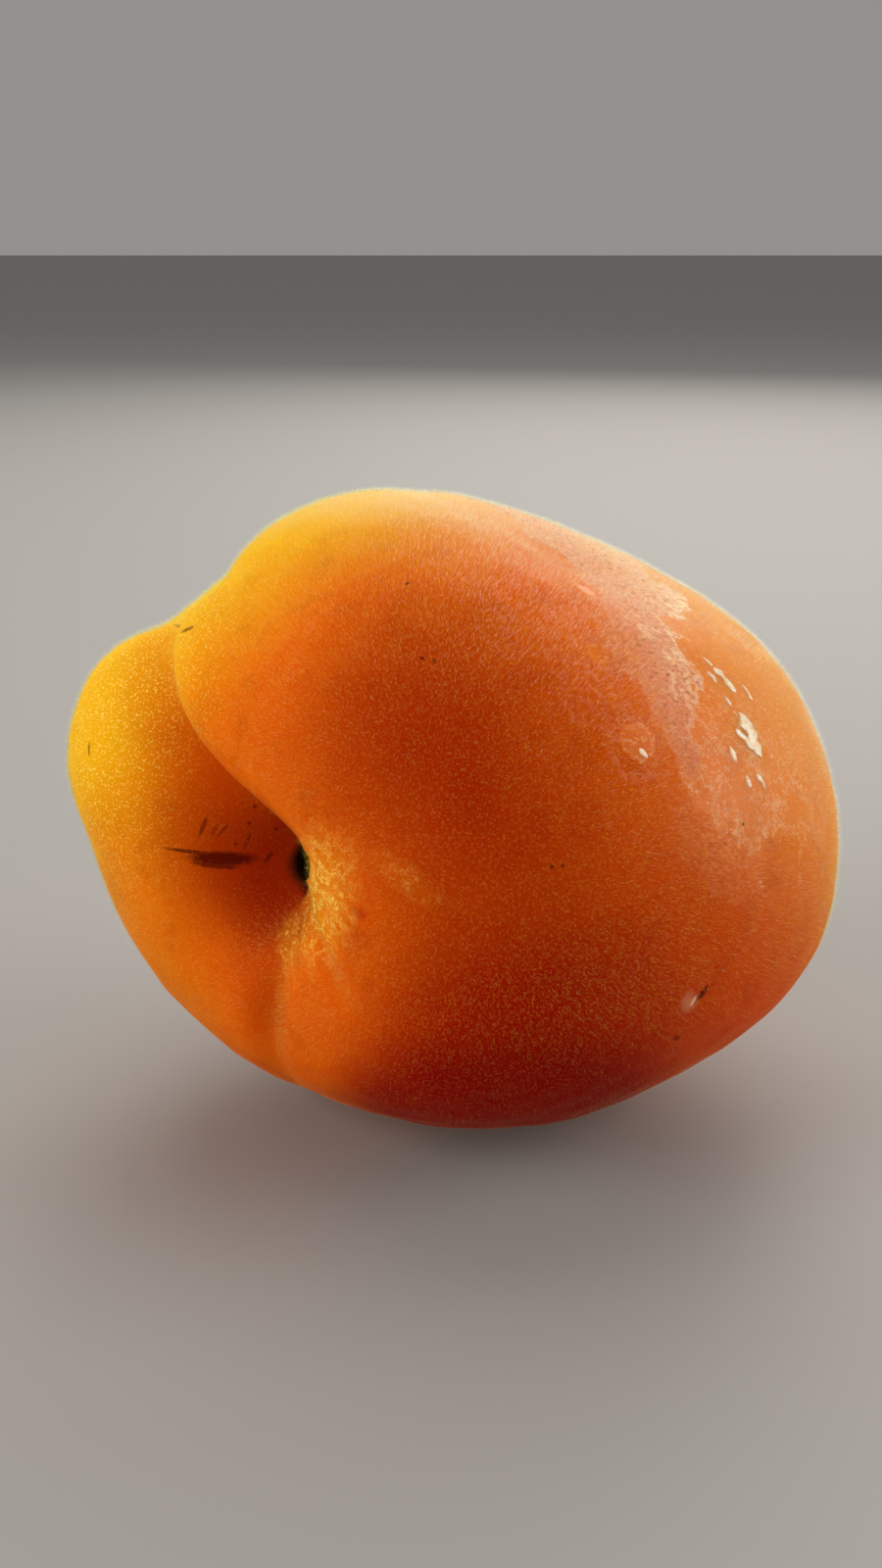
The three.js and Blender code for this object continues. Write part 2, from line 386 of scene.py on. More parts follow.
CENTIMETRE = 10  # mm; depths and distances are kept as shares of it
for label, values in (
    ("dry", np.clip(dry_field, -1, 1)),
    ("veil", np.clip(veil_field, -1, 1)),
    ("wet", np.clip(wet_field, -1, 1)),
    ("sunk", np.clip(sunk / CENTIMETRE, 0, 1)),
    ("off_pit", np.clip(off_pit / CENTIMETRE, 0, 1)),
):
    layer = skin.data.attributes.new(label, "FLOAT", "POINT")
    layer.data.foreach_set("value", values.astype(np.float32))


# ---- The skin's finish ----------------------------------------------------------------
# Ripe carotene skin, yellow on the lobe and shoulders and blushed red below, over flesh
# that lets light through; with corky scars, specks and pores, and smoother where it is wet.
# Its colour also holds painted shade on the front, underneath and in the hollows, and painted
# glints, highlights and sheen.


class Wire:
    """A shader output that can be reckoned with: each operator adds one Math node."""

    def __init__(self, finish, socket):
        self.finish = finish
        self.socket = socket

    def reckon(self, operation, *values, **settings):
        return self.finish.node("ShaderNodeMath", values, operation=operation, **settings)

    def __add__(self, other):
        return self.reckon("ADD", self, other)

    def __sub__(self, other):
        return self.reckon("SUBTRACT", self, other)

    def __rsub__(self, other):
        return self.reckon("SUBTRACT", other, self)

    def __mul__(self, other):
        return self.reckon("MULTIPLY", self, other)

    __radd__ = __add__
    __rmul__ = __mul__

    def line_at(self, level, half_width):
        """1 where the value is at the level, 0 at half a width from it: thin curved lines."""
        off = self.reckon("ABSOLUTE", self - level)
        return self.reckon("ADD", off * (-1 / half_width), 1.0, use_clamp=True)

    def clamped(self):
        return self.reckon("ADD", self, 0.0, use_clamp=True)

    def step_up(self, low, high):
        """0 below low, 1 above high and smooth between."""
        ends = {"Value": self, "From Min": low, "From Max": high}
        return self.finish.node("ShaderNodeMapRange", ends, interpolation_type="SMOOTHSTEP")


class Finish:
    """A material with one Principled shader, and the few kinds of node that it needs."""

    def __init__(self, name, **constants):
        self.material = bpy.data.materials.new(name)
        self.material.use_nodes = True
        self.tree = self.material.node_tree
        self.shader = self.tree.nodes["Principled BSDF"]
        for socket, value in constants.items():
            self.shader.inputs[socket.replace("_", " ")].default_value = value
        self.place = self.node("ShaderNodeTexCoord", output="Object")

    def node(self, kind, sockets=(), output=0, **settings):
        """Adds a node, sets it up, fills its sockets and returns one of its outputs."""
        made = self.tree.nodes.new(kind)
        for setting, value in settings.items():
            setattr(made, setting, value)
        pairs = sockets.items() if isinstance(sockets, dict) else enumerate(sockets)
        for socket, value in pairs:
            if isinstance(value, Wire):
                self.tree.links.new(value.socket, made.inputs[socket])
            else:
                made.inputs[socket].default_value = value
        return Wire(self, made.outputs[output])

    def mixed(self, share, under, over):
        """under where share is 0 and over where it is 1; both are colours."""
        sockets = {0: share, 6: under, 7: over}
        return self.node("ShaderNodeMix", sockets, output=2, data_type="RGBA")

    def noise(self, size, detail=3.0, roughness=0.55, place=None, twist=0.0):
        """Cloudy values round 0.5 with features of about this size in mm."""
        sockets = {
            "Vector": place or self.place,
            "Scale": 1 / (size * MM),
            "Detail": detail,
            "Roughness": roughness,
            "Distortion": twist,
        }
        return self.node("ShaderNodeTexNoise", sockets)

    def kept(self, label):
        """A value kept on the piece's points."""
        return self.node("ShaderNodeAttribute", output="Fac", attribute_name=label)

    def feed(self, socket, wire):
        self.tree.links.new(wire.socket, self.shader.inputs[socket])


def tint(*levels):
    """An sRGB colour, 0 to 255, as the linear colour that a shader takes."""
    shares = [level / 255 for level in levels]
    line = [s / 12.92 if s <= 0.04045 else ((s + 0.055) / 1.055) ** 2.4 for s in shares]
    return (*line, 1.0)


velvet_skin = Finish(
    "ripe_velvet_skin",
    IOR=1.25,
    Specular_IOR_Level=0.25,
    Specular_Tint=tint(255, 190, 96),
    Subsurface_Weight=0.7,
    Subsurface_Radius=(1.0, 0.3, 0.06),
    Subsurface_Scale=0.005,
    Sheen_Weight=0.06,
    Sheen_Roughness=0.22,
    Sheen_Tint=tint(255, 228, 186),
    Coat_Roughness=0.3,
)
fine_edge = velvet_skin.noise(0.35, detail=2)


def toward(azimuth, height, low, high):
    """How far the skin faces a direction from the middle: 0 at low, 1 at high, in mm along
    that direction."""
    places = (velvet_skin.place, tuple(MIDDLE * MM))
    offset = velvet_skin.node("ShaderNodeVectorMath", places, operation="SUBTRACT")
    along = (offset, tuple(direction(azimuth, height) / MM))
    far = velvet_skin.node("ShaderNodeVectorMath", along, output="Value", operation="DOT_PRODUCT")
    return far.step_up(low, high)


def facing(sides):
    """The sum, over sides of azimuth, height, low, high and share, of toward times share."""
    return sum(toward(*side) * share for *side, share in sides)


def aligned(start, end, scale):
    """Place on the skin with x along the way between two directions and z outward, from the
    middle of that way, and divided by the scale, which takes half the way's length in mm."""
    ends = skin_point(np.stack((direction(*start), direction(*end))))
    middle, run = ends.mean(axis=0), ends[1] - ends[0]
    half = np.linalg.norm(run) / 2
    run = run / (2 * half)
    out = middle - MIDDLE
    out = out - run * (out @ run)
    out = out / np.linalg.norm(out)
    turned = Matrix(np.stack((run, np.cross(out, run), out), axis=1).tolist())
    sockets = {
        "Vector": velvet_skin.place,
        "Location": tuple(middle * MM),
        "Rotation": turned.to_euler(),
        "Scale": tuple(scale(half)),
    }
    return velvet_skin.node("ShaderNodeMapping", sockets, vector_type="TEXTURE")


def streak(start, end, wide, ragged=0.0, soft=0.35):
    """1 on a long mark between two directions on the skin, wide mm across: the length of
    the offset from its middle, each axis as a share of the mark's half size."""

    def half_size(half):
        long = max(half, wide / 2) * MM
        return long, wide / 2 * MM, long

    mapped = aligned(start, end, half_size)
    away = velvet_skin.node("ShaderNodeVectorMath", (mapped,), output="Value", operation="LENGTH")
    if ragged:
        away = away + (fine_edge - 0.5) * ragged
    return 1 - away.step_up(1 - soft, 1 + soft)


mottle = velvet_skin.noise(2.6, detail=4)
cloud = velvet_skin.noise(11, detail=2)
grain = velvet_skin.noise(0.22, detail=2, roughness=0.7)

# The ground colour: yellow to orange, blushed brick red, deep red underneath, with fine
# yellow glints; the blush on the front and the deep red underneath are partly painted shade,
# and the glints are painted highlights. The sides are azimuth, height, where the colour starts
# and where it is full, in mm from the middle, and its share.
YELLOW = tint(255, 192, 4)
ORANGE = tint(236, 106, 0)
RED_ORANGE = tint(206, 60, 0)
BLUSH_AND_PAINTED_SHADE = tint(158, 20, 0)
DEEP_RED_AND_PAINTED_SHADE = tint(138, 0, 0)
PAINTED_GLINT = tint(255, 216, 92)
YELLOW_SIDES = (
    (-110, 40, 12, 24, 1.0),  # left shoulder
    (-85, -8, 14, 24, 0.35),  # low on the lobe
    (110, 50, 15, 22, 0.2),  # far shoulder
    (84, 24, 15, 26, 0.27),  # right flank
    (0, 90, 18, 23, 0.6),  # top
    (170, 10, 2, 24, 0.4),  # back
)
RED_ORANGE_SIDES = (
    (-48, -25, 17, 22, 0.4),  # below the pit
    (28, -28, 14, 23, 0.85),  # low on the right
)
# Blush, and on the front painted shade where the fruit is turned away from most of the lights.
BLUSH_AND_PAINTED_SHADE_SIDES = (
    (0, 10, 12, 24, 0.42),  # front
    (0, 30, 18, 22.5, 0.36),  # upper front
    (10, -30, 18, 22.5, 0.5),  # lower front
    (70, 70, 12, 24, 0.2),  # upper flank
    (-20, 21, 17.5, 21.5, 0.1),  # left of the upper front
)
# Painted highlights: yellow glints on the end of the lobe and the left shoulder, which face the
# light from the left.
PAINTED_GLINT_SIDES = (
    (-80, 18, 17, 26, 0.6),  # end of the lobe
    (-110, 40, 12, 24, 0.35),  # left shoulder
)
yellow = (facing(YELLOW_SIDES) + (cloud - 0.5) * 0.4).clamped()
blush_and_painted_shade = facing(BLUSH_AND_PAINTED_SHADE_SIDES) + 0.15 + (cloud - 0.5) * 0.25
# Deep red underneath: partly the skin's own blush and partly painted shade on the underside.
deep_red_and_painted_shade = toward(5, -48, 19, 22) + (mottle - 0.5) * 0.3
patchy = mottle.step_up(0.5, 0.75) * (1 - yellow) * 0.2
painted_glint = velvet_skin.noise(0.16, detail=1).step_up(0.52, 0.72) * (0.08 + facing(PAINTED_GLINT_SIDES))
colour = velvet_skin.mixed(yellow, ORANGE, YELLOW)
colour = velvet_skin.mixed(facing(RED_ORANGE_SIDES).clamped(), colour, RED_ORANGE)
colour = velvet_skin.mixed(blush_and_painted_shade.clamped(), colour, BLUSH_AND_PAINTED_SHADE)
colour = velvet_skin.mixed(deep_red_and_painted_shade.clamped(), colour, DEEP_RED_AND_PAINTED_SHADE)
colour = velvet_skin.mixed(patchy, colour, BLUSH_AND_PAINTED_SHADE)

# Painted shade where the hollows are darker: the lobe is redder on its inner face by the crease
# and in the valley below the pit, the folds are redder still, the cavity deep red round the pit,
# and the pit nearly black.
BRICK = tint(150, 22, 0)
CAVITY_SHADE_RED = tint(140, 20, 0)
PIT_SHADE_BLACK = tint(14, 2, 1)
lobe_flank_shade = streak((-61, 22), (-52, -22), 7.0, soft=0.8)
inner_face_shade = streak((-64, 2), (-51, -6), 9.5, soft=0.75)
low_valley_shade = streak((-49, -9), (-43, -34), 4.5, soft=0.8)
crease_shade = streak((-86, 33), (-64, 17), 4.2, soft=0.8)
sunk_share = velvet_skin.kept("sunk")
off_pit_share = velvet_skin.kept("off_pit")
pit_shade = (1 - off_pit_share.step_up(0.45, 0.95)) * sunk_share.step_up(0.3, 0.5)
colour = velvet_skin.mixed((lobe_flank_shade * 0.4 + crease_shade * 0.35).clamped(), colour, RED_ORANGE)
colour = velvet_skin.mixed((inner_face_shade * 0.5 + low_valley_shade * 0.45).clamped(), colour, BRICK)
# Painted highlights: the fine yellow glints on the lobe and shoulder.
colour = velvet_skin.mixed(painted_glint.clamped(), colour, PAINTED_GLINT)
colour = velvet_skin.mixed(sunk_share.step_up(0.2, 0.62) * 0.2, colour, BLUSH_AND_PAINTED_SHADE)
colour = velvet_skin.mixed(pit_shade * 0.85, colour, CAVITY_SHADE_RED)
colour = velvet_skin.mixed(1 - off_pit_share.step_up(0.25, 0.36), colour, PIT_SHADE_BLACK)

# The lip of the pit is golden and finely wrinkled, with painted glints along the wrinkles; a
# faint patch of painted glints lies to its right.
LIP_GOLD = tint(248, 152, 0)
LIP_PAINTED_GLINT = tint(255, 222, 104)
lip = streak((-33, -12), (-22, 8), 5.0, soft=0.7)
tongue = streak((-41, -12), (-38, -20), 1.8, soft=0.6)
faint_glint_patch = streak((-13, 9.5), (-3, 3.5), 1.6, soft=0.7)
lip_gold_and_glints = (lip + tongue * 0.45 + faint_glint_patch * 0.2).clamped()
crinkle = velvet_skin.noise(0.42, detail=3, roughness=0.6).step_up(0.45, 0.62)
wrinkle_glint = velvet_skin.noise(0.5, detail=1, twist=1.5).line_at(0.5, 0.09)
wrinkle_glint = wrinkle_glint * velvet_skin.noise(0.7, detail=1).step_up(0.42, 0.55)
colour = velvet_skin.mixed(lip_gold_and_glints * 0.55, colour, LIP_GOLD)
colour = velvet_skin.mixed(lip_gold_and_glints * wrinkle_glint, colour, LIP_PAINTED_GLINT)

# The dry band is pale, with dark pores, a sharp paler border to the right that is partly a
# painted highlight, and a soft one to the left, where thin pale map lines lead on; the far
# side is pale with fuzz as well. The band's far end and the far side are paler partly through
# painted sheen.
HAZE = tint(222, 142, 108)
PALE_HAZE_AND_SHEEN = tint(248, 214, 172)
PORE = tint(158, 62, 30)
map_edge = velvet_skin.noise(1.1, detail=4, roughness=0.65) - 0.5
crumb = velvet_skin.noise(0.45, detail=3).step_up(0.44, 0.6)
band_side = toward(126, -20, -3.5, 1.0)
band_high = toward(0, 90, 6, 13)
band_share = (0.55 + 0.45 * band_side) * (0.4 + 0.6 * band_high)
dry_line = velvet_skin.kept("dry") * 1.6 + map_edge * 2.4 + (crumb - 0.5) * 0.25
dry_share = dry_line.step_up(-0.05, 0.28) * band_side
dry_share = dry_share + dry_line.step_up(-0.3, 1.3) * (1 - band_side)
wet_value = velvet_skin.kept("wet")
wet_share = ((wet_value + map_edge * 0.7).step_up(0.0, 0.1) - dry_share).clamped()
veil = velvet_skin.kept("veil") + map_edge * 1.2
veil_haze = veil.step_up(0.0, 0.9) * crumb * 0.16 + veil.line_at(0.3, 0.1) * 0.12
island = streak((34, 29.5), (34, 20), 3.4, ragged=1.6, soft=0.4)
island_rim = island.line_at(0.5, 0.3) * (1 - dry_share) * 0.3
haze = dry_share * (0.6 + 0.5 * mottle) * band_share + island_rim + veil_haze * (1 - wet_share)

pore_place = aligned((40, 49), (62, 40), lambda half: (2.2, 0.9, 0.9))
pore = velvet_skin.noise(0.24, detail=1, place=pore_place)
# Sides where the fuzz is paler, partly through painted sheen towards the outline.
FUZZ_AND_SHEEN_SIDES = (
    (84, 24, 15, 26, 0.25),  # right flank
    (100, 48, 16, 24, 0.6),  # far top
    (175, 70, 17, 22, 1.0),  # back of the top
)
# A painted highlight along the band's sharp right border, over its own paler fuzz.
pale_border_and_highlight = (1 - dry_line.step_up(0.1, 0.6)) * wet_value.step_up(-0.3, 0.2) * band_side * band_high
# Paler towards the band's far end and on the far sides, partly painted sheen.
pale_and_sheen = dry_share * toward(95, 50, 19.5, 23.5) * 0.9
pale_and_sheen = pale_and_sheen + facing(FUZZ_AND_SHEEN_SIDES) * (0.2 + 0.4 * mottle)
pale_and_sheen = pale_and_sheen + dry_share * pale_border_and_highlight
pale_and_sheen = pale_and_sheen + dry_share * band_share * (1 - pore.step_up(0.32, 0.42)) * 0.4
pale_and_sheen = pale_and_sheen + wet_share * pore.step_up(0.62, 0.7) * 0.4
colour = velvet_skin.mixed(haze.clamped(), colour, HAZE)
colour = velvet_skin.mixed((pale_and_sheen * 0.75).clamped(), colour, PALE_HAZE_AND_SHEEN)
colour = velvet_skin.mixed(pore.step_up(0.58, 0.7) * dry_share * band_share * 0.65, colour, PORE)

# The wet skin is lighter, with pale ridges of matted fuzz by the dry band. Below it a patch
# is rough like fine leather: peach-coloured grains with dark gaps.
WET_ORANGE = tint(242, 146, 36)
PEACH = tint(236, 148, 92)
rough_patch = streak((41, 12), (57, 4), 5.5, soft=0.9)
grains = rough_patch * (0.2 + (1 - pore.step_up(0.36, 0.48)) * 0.35)
ridges = (wet_value + map_edge * 2.2).line_at(0.3, 0.09) + map_edge.line_at(0.12, 0.03)
ridges = ridges * wet_share * toward(46, 20, 20, 22.5)
colour = velvet_skin.mixed(wet_share * 0.22, colour, WET_ORANGE)
colour = velvet_skin.mixed((ridges * 0.4).clamped(), colour, PALE_HAZE_AND_SHEEN)
colour = velvet_skin.mixed(grains, colour, PEACH)
colour = velvet_skin.mixed(rough_patch * pore.step_up(0.54, 0.68) * 0.35, colour, PORE)

# Corky scars and specks: start, end, width, raggedness and strength.
CORK = tint(84, 4, 0)
SCARS = (
    ((-66.9, -0.2), (-60.0, -0.9), 0.3, 0.7, 0.8),
    ((-63.8, -1.7), (-55.6, -1.8), 0.95, 0.6, 0.95),
    ((-63.4, -2.7), (-57.6, -3.6), 0.4, 0.9, 0.8),
    ((-62.1, 6.9), (-62.8, 2.8), 0.17, 0.3, 0.6),
    ((-60.8, 5.9), (-61.5, 2.9), 0.13, 0.3, 0.4),
    ((-59.6, 5.9), (-60.9, 2.8), 0.15, 0.3, 0.45),
    ((-57.0, 4.2), (-57.4, 0.4), 0.15, 0.4, 0.45),
    ((-58.6, 1.7), (-58.4, 1.3), 0.24, 0.4, 0.6),
    ((-53.4, -0.2), (-53.9, -2.9), 0.2, 0.6, 0.7),
    ((-88.5, 35.2), (-78.0, 38.0), 0.4, 0.9, 0.75),
    ((-73.5, 36.6), (-71.0, 38.6), 0.35, 0.9, 0.75),
    ((43.2, -18.4), (44.6, -16.0), 0.55, 0.7, 0.85),
    ((40.4, -24.7), (42.2, -26.0), 0.45, 0.6, 0.6),
    ((-78.6, 14.2), (-77.6, 12.4), 0.25, 0.6, 0.6),
    ((-15.0, 57.8), (-14.6, 57.2), 0.28, 0.4, 0.85),
    ((-7.6, 42.8), (-7.2, 42.4), 0.26, 0.4, 0.8),
    ((-4.9, 42.4), (-4.5, 42.0), 0.26, 0.4, 0.8),
    ((14.8, 8.7), (15.1, 8.2), 0.26, 0.4, 0.8),
    ((16.6, 8.6), (16.9, 8.2), 0.22, 0.4, 0.7),
    ((54.0, 8.5), (54.4, 8.0), 0.26, 0.4, 0.8),
    ((-57.5, 10.8), (-57.1, 10.3), 0.26, 0.4, 0.7),
    ((-54.1, 5.7), (-53.7, 5.2), 0.26, 0.4, 0.7),
    ((-57.6, 6.7), (-57.2, 6.2), 0.24, 0.4, 0.7),
)
scar = 0.0
for start, end, wide, ragged, strength in SCARS:
    mark = streak(start, end, wide, ragged) * strength
    scar = mark if scar == 0.0 else scar.reckon("MAXIMUM", scar, mark)
colour = velvet_skin.mixed(scar, colour, CORK)

# A red spot by the lip, and a pale slash with a faint halo beside the scar low on the right.
SPOT_RED = tint(176, 26, 0)
CREAM = tint(250, 226, 186)
red_spot = streak((-18.0, -0.6), (-14.8, -0.9), 0.7, ragged=0.8, soft=0.6)
pale_slash = streak((42.5, -17.4), (41.9, -19.1), 0.3, ragged=0.5)
pale_halo = streak((40.0, -17.0), (42.6, -19.6), 1.1, ragged=0.6, soft=0.8)
colour = velvet_skin.mixed(red_spot * 0.6, colour, SPOT_RED)
colour = velvet_skin.mixed(pale_halo * 0.15, colour, CREAM)
colour = velvet_skin.mixed(pale_slash * 0.45, colour, CREAM)
velvet_skin.feed("Base Color", colour)

# Matt where it is dry, smoother where it is wet and a little glossy on the lip.
rough = 0.62 + (grain - 0.5) * 0.25 - wet_share * 0.24 + dry_share * 0.1
velvet_skin.feed("Roughness", rough)
velvet_skin.feed("Coat Weight", wet_share * 0.1 + lip_gold_and_glints * 0.06)

# Fine grain and unevenness, with wrinkles on the lip of the pit.
RELIEF_HEIGHT = 0.05  # mm
raised = grain * 0.6 + mottle * 0.6 + crinkle * lip_gold_and_glints * 2.0
relief = {"Height": raised, "Distance": RELIEF_HEIGHT * MM, "Strength": 0.8}
velvet_skin.feed("Normal", velvet_skin.node("ShaderNodeBump", relief))

skin.data.materials.append(velvet_skin.material)
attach(skin, "root")
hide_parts("apricot")


# ---- Wet flecks -------------------------------------------------------------------------
# Tufts of wet fuzz, matted into shining films, all but one on the right of the dry band. Each
# is a long thin lens with ragged sides that lies along the skin, partly sunk in it.

# Start and end as azimuth and height, and width in mm.
FLECKS = (
    ((69.0, 33.2), (69.0, 27.6), 0.75),
    ((66.0, 33.2), (65.7, 30.8), 0.4),
    ((68.5, 35.6), (69.0, 33.4), 0.18),
    ((72.8, 27.9), (72.2, 24.9), 0.25),
    ((64.8, 28.0), (64.2, 26.2), 0.25),
    ((65.2, 24.8), (64.3, 16.6), 1.0),
    ((61.6, 22.7), (63.6, 17.5), 0.5),
    ((57.7, 20.7), (57.5, 17.9), 0.4),
    ((58.7, 15.2), (58.8, 13.1), 0.4),
    ((61.2, 14.7), (62.1, 12.1), 0.35),
    ((35.0, 24.8), (36.3, 23.1), 0.35),
)
FLECK_RAISE, FLECK_SINK = 0.09, 0.05  # mm above and below the skin
FLECK_RINGS, FLECK_AROUND = 40, 14
FLECK_RAGGED = 0.35  # of its half width
FLECK_TOOTH = 0.8  # mm from tooth to tooth
SIDES_APART = 7.0  # mm, so that its two sides are ragged each in its own way
FLECK_RELIEF_HEIGHT = 0.04  # mm


def film(start, end, wide, seed):
    """Points of one film: u runs from start to end and t round it. It is wide / 2 times
    sqrt(1 - (2u - 1)^2) times a ragged share to either side, and raised as sin(t)."""
    u = np.linspace(0, 1, FLECK_RINGS + 2)[:, None]
    t = 2 * np.pi * np.arange(FLECK_AROUND) / FLECK_AROUND
    first, last = skin_point(np.stack((direction(*start), direction(*end))))
    out = (first + last) / 2 - MIDDLE
    across = np.cross(out, last - first)
    across = across / np.linalg.norm(across)
    spine = first + u[..., None] * (last - first) + 0 * t[:, None]
    side = np.sign(np.cos(t))[:, None] * np.array((0, 0, SIDES_APART))
    teeth = np.clip(undulation(spine + side, FLECK_TOOTH, seed), -1.6, 2)
    ragged = 1 + FLECK_RAGGED * teeth
    round_off = np.sqrt(np.clip(1 - (2 * u - 1) ** 2, 0, 1))
    half = wide / 2 * round_off * ragged
    spot = spine + (half * np.cos(t))[..., None] * across - MIDDLE
    outward = spot / np.linalg.norm(spot, axis=-1, keepdims=True)
    raised = np.sin(t) * np.where(np.sin(t) > 0, FLECK_RAISE, FLECK_SINK) * round_off
    points = skin_point(outward) + outward * raised[..., None]
    return np.vstack((points[0, :1], points[1:-1].reshape(-1, 3), points[-1, :1]))


fleck_points = np.concatenate([film(*fleck, seed) for seed, fleck in enumerate(FLECKS)])
fleck_faces = capped_rings(FLECK_RINGS, FLECK_AROUND)
fleck_size = 2 + FLECK_RINGS * FLECK_AROUND
fleck_faces = fleck_faces + fleck_size * np.arange(len(FLECKS))[:, None, None]
flecks = closed_mesh("wet_flecks", fleck_points, fleck_faces.reshape(-1, 3))

wet_fuzz = Finish(
    "wet_matted_fuzz",
    IOR=1.4,
    Subsurface_Weight=0.2,
    Subsurface_Radius=(1.0, 0.6, 0.35),
    Subsurface_Scale=0.0005,
    Coat_Weight=0.6,
    Coat_Roughness=0.22,
)
matted = wet_fuzz.noise(0.25, detail=2, roughness=0.6)
# The films' near-white colour is partly the matted fuzz and partly a painted highlight of its
# shine.
FLECK_PALE_AND_HIGHLIGHT = tint(255, 238, 208)
FLECK_DARK = tint(252, 196, 132)
fleck_colour = wet_fuzz.mixed(matted.step_up(0.35, 0.7), FLECK_PALE_AND_HIGHLIGHT, FLECK_DARK)
wet_fuzz.feed("Base Color", fleck_colour)
wet_fuzz.feed("Roughness", 0.25 + matted * 0.3)
fleck_relief = {"Height": matted, "Distance": FLECK_RELIEF_HEIGHT * MM, "Strength": 0.7}
wet_fuzz.feed("Normal", wet_fuzz.node("ShaderNodeBump", fleck_relief))
flecks.data.materials.append(wet_fuzz.material)
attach(flecks, "root")


# ---- The fuzz ---------------------------------------------------------------------------
# Short, upright hairs, each one cell of the skin drawn out to a point, golden for the most
# part and paler on the upper right, partly as painted sheen. They grow over most of the fruit.

HAIRS_A_PATCH = 47000
HAIR_LENGTHS = (0.2, 0.5)  # mm
HAIR_HALF_WIDTH = 0.004  # mm, at the root
HAIR_ROOT = 0.03  # mm inside the skin
HAIR_SCATTER = 0.2  # how far hairs lean at random, as a share of their length
HAIR_COMBED = 0.15  # and away from the stem
LONG_HAIR_EVERY = 250
LONG_HAIR_TIMES = 2.2
FUZZ_SEED = 40

edge_a = skin_points[skin_faces[:, 1]] - skin_points[skin_faces[:, 0]]
edge_b = skin_points[skin_faces[:, 2]] - skin_points[skin_faces[:, 0]]
face_out = np.cross(edge_a, edge_b)
face_area = np.linalg.norm(face_out, axis=1) / 2
face_out = face_out / (2 * face_area[:, None] + 1e-12)
face_wet = wet[skin_faces].mean(axis=1)
face_dry = dry[skin_faces].mean(axis=1)
face_off_pit = off_pit[skin_faces].mean(axis=1)
face_top = skin_points[skin_faces][:, :, 2].max(axis=1)
face_middle = skin_points[skin_faces].mean(axis=1)
face_side = np.arctan2(face_middle[:, 0] - MIDDLE[0], MIDDLE[1] - face_middle[:, 1])

# Growth: none in the pit or on the rest spot, little underneath, in the folds, on the scar
# and where it is wet, less on the front, more on the dry band.
BARE_SPAN = (2.5, 6.5)  # mm from the middle of the pit, over which growth sets in
REST_TOP = 0.05  # mm; faces that lie lower are on the rest spot
LESS_WHERE_WET, MORE_WHERE_DRY = 0.8, 0.5
LESS_UNDERNEATH, LESS_IN_FOLDS, LESS_IN_FRONT = 0.97, 0.9, 0.45
FOLD_REACH, FOLD_LAST = 0.9, 2.6  # mm across the suture, radians down from the stem
SCAR_AT, SCAR_REACH = (-59.5, -1.8), 0.075
PALE_EVERYWHERE, PALE_AND_SHEEN_UPPER_RIGHT = 0.04, 0.6  # shares of the hairs
growth = (1 - LESS_WHERE_WET * face_wet) * step_up(face_off_pit, *BARE_SPAN) * (face_top > REST_TOP)
growth = growth * (1 + MORE_WHERE_DRY * face_dry)
growth = growth * (1 - LESS_UNDERNEATH * step_up(-face_out[:, 2], 0.0, 0.5))
skin_across = SKIN_BALL * np.sin(skin_down) * np.sin(skin_off)
in_fold = bell(skin_across, FOLD_REACH) * (np.cos(skin_off) > 0) * (skin_down < FOLD_LAST)
scarred = bell(off_direction(skin_outward, *SCAR_AT), SCAR_REACH, 4)
thinned = np.maximum(in_fold, scarred)[skin_faces].mean(axis=1)
growth = growth * (1 - LESS_IN_FOLDS * thinned)
growth = growth * (1 - LESS_IN_FRONT * step_up(face_out @ direction(2, 0), 0.5, 0.95))
# Pale hairs gather on the upper right: partly pale fuzz, partly painted sheen.
upper_right = step_up(face_out @ direction(95, 45), 0.4, 0.95)
pale_and_sheen_share = PALE_EVERYWHERE + PALE_AND_SHEEN_UPPER_RIGHT * upper_right


